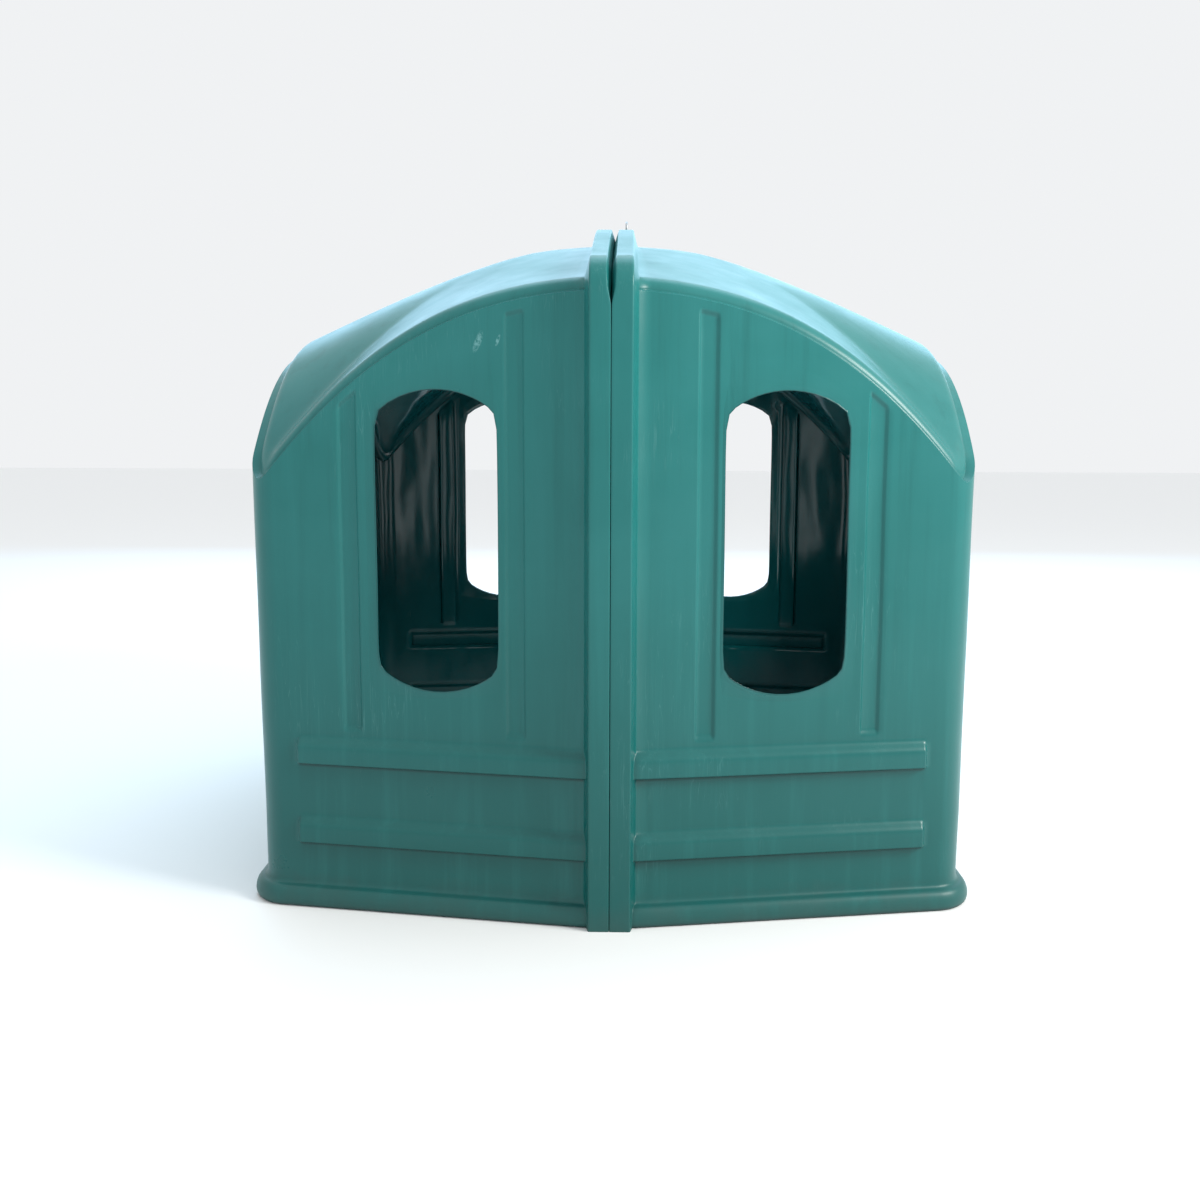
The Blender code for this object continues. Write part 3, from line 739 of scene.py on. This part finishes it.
def build_lifting_eye(material_of):
    """Forged eye bolt: ring, collar and threaded shank, with washer and nut."""
    low, high = box_of("lifting_eye")
    x, y = (low[0] + high[0]) / 2.0, (low[1] + high[1]) / 2.0
    rod = (high[0] - low[0]) / 2.0
    radius = (high[1] - low[1]) / 2.0 - rod
    ring_z = high[2] - radius - rod
    shank_top = ring_z - radius - 0.5 * rod
    collar = shank_top - 0.0018
    heights = np.linspace(0.0, collar - 0.003 - low[2], EYE_ROWS)
    profile = [(0.0, rod - 0.001, 0)] + [(h + 0.0004, rod, 0) for h in heights]
    top = collar - low[2]
    profile += [(top - 0.0015, rod + 0.0005, 0), (top, rod + 0.0022, 0), (top + 0.002, rod + 0.0024, 0),
                (top + 0.004, rod + 0.001, 0), (top + 0.0055, rod, 0)]
    shank = upright(turned(profile, thread=(-0.002, 0.026)), (x, y, low[2]))
    eye = merged(ring_shape((x, y, ring_z), radius, rod), shank)
    add_piece("lifting_eye_bolt", mesh_of("lifting_eye_bolt", *eye),
              material_of["galvanised_eye"], ["lifting_eye"])
    low, high = box_of("eye_washer")
    washer = turned(washer_profile(0.0, high[2] - low[2], WASHER_RADIUS, rod + 0.0003), closed=True)
    add_piece("lifting_eye_washer", mesh_of("lifting_eye_washer", *upright(washer, (x, y, low[2]))),
              material_of["zinc_washer"], ["eye_washer"])
    low, high = box_of("eye_nut")
    nut = turned(hexagon_profile(0.0, high[2] - low[2], EYE_CORNERS, rod + 0.0002), EYE_CORNERS, closed=True)
    add_piece("lifting_eye_nut", mesh_of("lifting_eye_nut", *upright(nut, (x, y, low[2]))),
              material_of["zinc_nut"], ["eye_nut"])


# ------------------------------------------------------------------ materials

class Graph:
    """Short helpers around one material's node tree."""

    def __init__(self, name):
        self.material = bpy.data.materials.new(name)
        self.material.use_nodes = True
        self.tree = self.material.node_tree
        self.shader = self.tree.nodes["Principled BSDF"]
        self.object = self.node("ShaderNodeTexCoord").outputs["Object"]

    def node(self, kind, **values):
        """A node with its sockets or settings given by name."""
        node = self.tree.nodes.new(kind)
        for key, value in values.items():
            if hasattr(node, key):
                setattr(node, key, value)
            else:
                node.inputs[key.replace("_", " ").title()].default_value = value
        return node

    def link(self, source, target):
        self.tree.links.new(source, target)
        return source

    def stretched(self, scale):
        """Object coordinates scaled by a vector."""
        node = self.node("ShaderNodeMapping")
        node.inputs["Scale"].default_value = scale
        self.link(self.object, node.inputs["Vector"])
        return node.outputs["Vector"]

    def noise(self, scale, detail=4.0, roughness=0.55, vector=None, distortion=0.0):
        """Noise value on object coordinates."""
        node = self.node("ShaderNodeTexNoise", scale=scale, detail=detail,
                         roughness=roughness, distortion=distortion)
        self.link(vector or self.object, node.inputs["Vector"])
        return node.outputs["Fac"]

    def remap(self, value, low, high, to_low=0.0, to_high=1.0):
        """A value moved from one range to another, clamped."""
        node = self.node("ShaderNodeMapRange")
        node.inputs["From Min"].default_value = low
        node.inputs["From Max"].default_value = high
        node.inputs["To Min"].default_value = to_low
        node.inputs["To Max"].default_value = to_high
        self.link(value, node.inputs["Value"])
        return node.outputs["Result"]

    def math(self, operation, first, second=None):
        """Arithmetic on values; a number stays on the socket."""
        node = self.node("ShaderNodeMath")
        node.operation = operation
        for socket, value in zip(node.inputs, (first, second)):
            if value is None:
                continue
            if isinstance(value, (int, float)):
                socket.default_value = value
            else:
                self.link(value, socket)
        return node.outputs["Value"]

    def mix(self, share, first, second):
        """Colour mixed from first to second by a share."""
        node = self.node("ShaderNodeMix")
        node.data_type = "RGBA"
        self.link(share, node.inputs[0])
        for socket, value in ((node.inputs[6], first), (node.inputs[7], second)):
            if isinstance(value, tuple):
                socket.default_value = (*value, 1.0)
            else:
                self.link(value, socket)
        return node.outputs[2]

    def bump(self, height, strength, distance, before=None):
        """Bump from a height value, stacked on an earlier one."""
        node = self.node("ShaderNodeBump")
        node.inputs["Strength"].default_value = strength
        node.inputs["Distance"].default_value = distance
        self.link(height, node.inputs["Height"])
        if before is not None:
            self.link(before, node.inputs["Normal"])
        return node.outputs["Normal"]


PLASTIC_DEEP = (0.002, 0.090, 0.084)
PLASTIC_MAIN = (0.008, 0.146, 0.138)
PLASTIC_PALE = (0.020, 0.184, 0.178)
# Colour of the painted shade under the ribs and on downward faces.
PLASTIC_SHADE = (0.001, 0.022, 0.022)
# Inside green: unfaded plastic, darkened further as painted shade.
PLASTIC_INSIDE_SHADED = (0.003, 0.080, 0.088)
# Pale chalky colour of scratches and rubbed wear, also used for the painted sky sheen.
PLASTIC_CHALK_AND_SHEEN = (0.16, 0.38, 0.38)
SOIL = (0.030, 0.070, 0.064)
RUBBED = (                # (x, z, half width, half height)
    (-0.357, 1.600, 0.010, 0.028),
    (-0.303, 1.603, 0.005, 0.015),
)


def rubbed_marks(graph, axes):
    """Pale rubbed marks on the front: slanting ellipses broken up by noise."""
    total = None
    front = graph.remap(axes.outputs["Y"], -0.6, -0.7)
    ragged = graph.noise(120.0, 3.0, 0.6)
    for x, z, half_width, half_height in RUBBED:
        up = graph.math("SUBTRACT", axes.outputs["Z"], z)
        lean = graph.math("MULTIPLY", up, -0.35)
        side = graph.math("ADD", graph.math("SUBTRACT", axes.outputs["X"], x), lean)
        wide = graph.math("POWER", graph.math("DIVIDE", side, half_width), 2.0)
        tall = graph.math("POWER", graph.math("DIVIDE", up, half_height), 2.0)
        inside = graph.remap(graph.math("ADD", wide, tall), 1.25, 0.35)
        total = inside if total is None else graph.math("MAXIMUM", total, inside)
    broken = graph.math("MULTIPLY", total, graph.remap(ragged, 0.38, 0.60))
    return graph.math("MULTIPLY", broken, front)


def scratches(graph, scale, width, turn):
    """Thin straight scratches: narrow bands of stretched noise, in patches."""
    node = graph.node("ShaderNodeMapping")
    node.inputs["Rotation"].default_value = turn
    node.inputs["Scale"].default_value = (scale, scale, scale * 0.045)
    graph.link(graph.object, node.inputs["Vector"])
    lines = graph.noise(1.0, 2.0, 0.4, node.outputs["Vector"])
    thin = graph.remap(graph.math("ABSOLUTE", graph.math("SUBTRACT", lines, 0.5)), width, 0.0)
    patches = graph.remap(graph.noise(2.3, 3.0, 0.6), 0.54, 0.66)
    return graph.math("MULTIPLY", thin, patches)


def weathered_green(graph, axes, facing):
    """Cloudy green, deeper low down, with specks, rain streaks and a painted sky sheen on upward faces."""
    clouds = graph.remap(graph.noise(1.6, 5.0, 0.55, distortion=0.4), 0.32, 0.68)
    colour = graph.mix(clouds, PLASTIC_MAIN, PLASTIC_PALE)
    low_down = graph.remap(axes.outputs["Z"], 1.5, 0.2)
    colour = graph.mix(low_down, colour, PLASTIC_DEEP)
    speckle = graph.remap(graph.noise(260.0, 2.0, 0.7), 0.60, 0.75, 0.0, 0.12)
    colour = graph.mix(speckle, colour, PLASTIC_PALE)
    streaks = graph.noise(3.0, 5.0, 0.62, graph.stretched((7.0, 7.0, 0.35)))
    colour = graph.mix(graph.remap(streaks, 0.52, 0.78, 0.0, 0.30), colour, PLASTIC_PALE)
    colour = graph.mix(graph.remap(streaks, 0.46, 0.26, 0.0, 0.35), colour, PLASTIC_DEEP)
    # Painted sky sheen: faces that look up are mixed paler.
    sky_sheen = graph.remap(facing.outputs["Z"], 0.15, 0.95, 0.0, 0.06)
    return graph.mix(sky_sheen, colour, PLASTIC_CHALK_AND_SHEEN)


def soiled_foot(graph, axes):
    """Share of soil: all along the foot, with a ragged upper edge."""
    ragged = graph.math("MULTIPLY", graph.noise(9.0, 6.0, 0.6), -0.16)
    return graph.remap(graph.math("ADD", axes.outputs["Z"], ragged), 0.01, -0.08, 0.0, 0.45)


def shade_share(graph, facing):
    """Painted shade: 1 on faces that look down and on the lines under the horizontal ribs."""
    painted_shade = graph.node("ShaderNodeAttribute", attribute_name="painted_shade").outputs["Fac"]
    return graph.math("MAXIMUM", painted_shade, graph.remap(facing.outputs["Z"], -0.2, -0.8))


def inner_green_and_shade(graph):
    """The deeper green of the inside, in soft patches: unfaded plastic, darkened further as painted shade."""
    patches = graph.remap(graph.noise(3.1, 4.0, 0.6), 0.3, 0.7, 0.75, 1.0)
    return graph.mix(patches, PLASTIC_DEEP, PLASTIC_INSIDE_SHADED)


def plastic_material():
    """Moulded polyethylene: weathered outside, glossier and slightly wavy inside,
    with fine scratches, rubbed marks, soil at the foot and an orange-peel skin;
    painted shade under the ribs and on downward faces, a painted sky sheen on
    upward faces, and an inside green darkened partly as painted shade."""
    graph = Graph("moulded_polyethylene")
    axes = graph.node("ShaderNodeSeparateXYZ")
    graph.link(graph.object, axes.inputs[0])
    facing = graph.node("ShaderNodeSeparateXYZ")
    graph.link(graph.node("ShaderNodeNewGeometry").outputs["Normal"], facing.inputs[0])
    inside = graph.node("ShaderNodeAttribute", attribute_name="inside").outputs["Fac"]
    fine = scratches(graph, 70.0, 0.010, (0.3, 0.5, 0.9))
    cross = scratches(graph, 55.0, 0.008, (0.9, -0.6, 0.2))
    lines = graph.math("MAXIMUM", fine, cross)
    marks = rubbed_marks(graph, axes)
    soil = soiled_foot(graph, axes)
    colour = weathered_green(graph, axes, facing)
    colour = graph.mix(graph.math("MULTIPLY", lines, 0.16), colour, PLASTIC_CHALK_AND_SHEEN)
    colour = graph.mix(graph.math("MULTIPLY", marks, 0.75), colour, PLASTIC_CHALK_AND_SHEEN)
    colour = graph.mix(soil, colour, SOIL)
    # Painted shade on downward faces and in a line under each horizontal rib.
    colour = graph.mix(graph.math("MULTIPLY", shade_share(graph, facing), 0.75), colour, PLASTIC_SHADE)
    # Inside skin: deeper green, partly unfaded plastic and partly painted shade.
    colour = graph.mix(inside, colour, inner_green_and_shade(graph))
    graph.link(colour, graph.shader.inputs["Base Color"])
    patchy = graph.remap(graph.noise(4.0, 6.0, 0.6), 0.3, 0.7, 0.27, 0.38)
    patchy = graph.math("SUBTRACT", patchy, graph.math("MULTIPLY", inside, 0.17))
    rough = graph.math("ADD", patchy, graph.math("MULTIPLY", lines, 0.15))
    rough = graph.math("ADD", rough, graph.math("MULTIPLY", soil, 0.35))
    graph.link(graph.math("ADD", rough, graph.math("MULTIPLY", marks, 0.2)), graph.shader.inputs["Roughness"])
    graph.link(graph.remap(inside, 0.0, 1.0, 1.42, 1.60), graph.shader.inputs["IOR"])
    waving = graph.math("MULTIPLY", graph.noise(4.0, 2.0, 0.5, graph.stretched((1.0, 1.0, 0.3))), inside)
    waves = graph.bump(waving, 1.0, 0.028, graph.bump(graph.noise(5.0, 2.0, 0.5), 0.20, 0.012))
    peel = graph.bump(graph.noise(190.0, 3.0, 0.55), 0.10, 0.0012, waves)
    graph.link(graph.bump(lines, 0.08, 0.0006, peel), graph.shader.inputs["Normal"])
    return graph.material


def zinc_material(name, tint, roughness):
    """Plated steel: cool grey with crystals, dull bloom and a little rust in patches."""
    graph = Graph(name)
    crystals = graph.remap(graph.noise(420.0, 3.0, 0.6), 0.35, 0.65)
    darker = tuple(value * 0.72 for value in tint)
    colour = graph.mix(crystals, darker, tint)
    rust = graph.remap(graph.noise(95.0, 5.0, 0.65), 0.60, 0.74, 0.0, 0.6)
    colour = graph.mix(rust, colour, (0.20, 0.075, 0.028))
    graph.link(colour, graph.shader.inputs["Base Color"])
    graph.link(graph.math("SUBTRACT", 1.0, graph.math("MULTIPLY", rust, 0.9)), graph.shader.inputs["Metallic"])
    spread = graph.remap(graph.noise(150.0, 4.0, 0.6), 0.3, 0.7, roughness - 0.08, roughness + 0.14)
    graph.link(graph.math("ADD", spread, graph.math("MULTIPLY", rust, 0.35)), graph.shader.inputs["Roughness"])
    graph.link(graph.bump(graph.noise(600.0, 3.0, 0.6), 0.15, 0.0003), graph.shader.inputs["Normal"])
    return graph.material


def floor_material():
    """Plain pale floor."""
    graph = Graph("pale_floor")
    graph.shader.inputs["Base Color"].default_value = (0.92, 0.93, 0.93, 1.0)
    graph.shader.inputs["Roughness"].default_value = 0.8
    return graph.material


# ------------------------------------------------------------ camera and light

FLOOR_REACH = 30.0
LIGHTS = (                # (name, place, target, size, watts, colour)
    ("key", (5.6, -2.9, 4.2), (0.2, 0.0, 1.1), (2.2, 2.2), 430.0, (1.0, 0.99, 0.95)),
    ("overhead", (0.0, 1.6, 6.2), (0.0, 0.0, 1.5), (6.0, 4.0), 150.0, (0.50, 0.80, 1.0)),
    ("sky_behind", (0.0, 7.5, 4.2), (0.0, 0.0, 1.7), (11.0, 4.6), 330.0, (0.34, 0.70, 1.0)),
)


def add_camera():
    """Camera a little right of the seam, about 3.1 m from it, looking slightly down."""
    data = bpy.data.cameras.new("camera")
    data.lens = CAMERA_LENS
    data.sensor_width = 36.0
    data.shift_x, data.shift_y = CAMERA_SHIFT
    camera = bpy.data.objects.new("camera", data)
    camera.location = CAMERA_PLACE
    camera.rotation_mode = "YXZ"
    camera.rotation_euler = (math.pi / 2.0 - CAMERA_PITCH, 0.0, CAMERA_YAW)
    aim = camera.rotation_euler.to_matrix()
    cosine, sine = math.cos(CAMERA_ROLL), math.sin(CAMERA_ROLL)
    right, up = aim.col[0].copy(), aim.col[1].copy()
    aim.col[0] = right * cosine + up * sine
    aim.col[1] = up * cosine - right * sine
    camera.rotation_euler = aim.to_euler("YXZ")
    bpy.context.collection.objects.link(camera)
    bpy.context.scene.camera = camera


def add_area(name, place, target, size, power, colour):
    """A soft rectangular light aimed at a point."""
    data = bpy.data.lights.new(name, "AREA")
    data.shape = "RECTANGLE"
    data.size, data.size_y = size
    data.energy = power
    data.color = colour
    light = bpy.data.objects.new(name, data)
    light.location = place
    aim = Vector(target) - Vector(place)
    light.rotation_euler = aim.to_track_quat("-Z", "Y").to_euler()
    light.visible_camera = False
    bpy.context.collection.objects.link(light)


def add_stage():
    """Floor, pale surroundings and soft lights."""
    reach = FLOOR_REACH
    mesh = bpy.data.meshes.new("floor")
    corners = [(-reach, -reach, 0), (reach, -reach, 0), (reach, reach, 0), (-reach, reach, 0)]
    mesh.from_pydata(corners, [], [(0, 1, 2, 3)])
    floor = bpy.data.objects.new("floor", mesh)
    floor.data.materials.append(floor_material())
    bpy.context.collection.objects.link(floor)
    world = bpy.data.worlds.new("surroundings")
    world.use_nodes = True
    sky = world.node_tree.nodes["Background"]
    sky.inputs["Color"].default_value = (0.97, 0.985, 1.0, 1.0)
    sky.inputs["Strength"].default_value = 0.90
    bpy.context.scene.world = world
    for light in LIGHTS:
        add_area(*light)
    bpy.context.scene.view_settings.view_transform = "Standard"


def build():
    """Everything in order: camera, stage, materials, pieces."""
    add_camera()
    add_stage()
    steel = {
        "zinc_bolt": zinc_material("zinc_bolt", (0.62, 0.63, 0.64), 0.32),
        "zinc_washer": zinc_material("zinc_washer", (0.66, 0.67, 0.68), 0.36),
        "zinc_nut": zinc_material("zinc_nut", (0.60, 0.61, 0.62), 0.34),
        "galvanised_eye": zinc_material("galvanised_eye", (0.55, 0.57, 0.59), 0.46),
    }
    build_shells(plastic_material())
    build_fasteners(steel)
    build_lifting_eye(steel)


build()
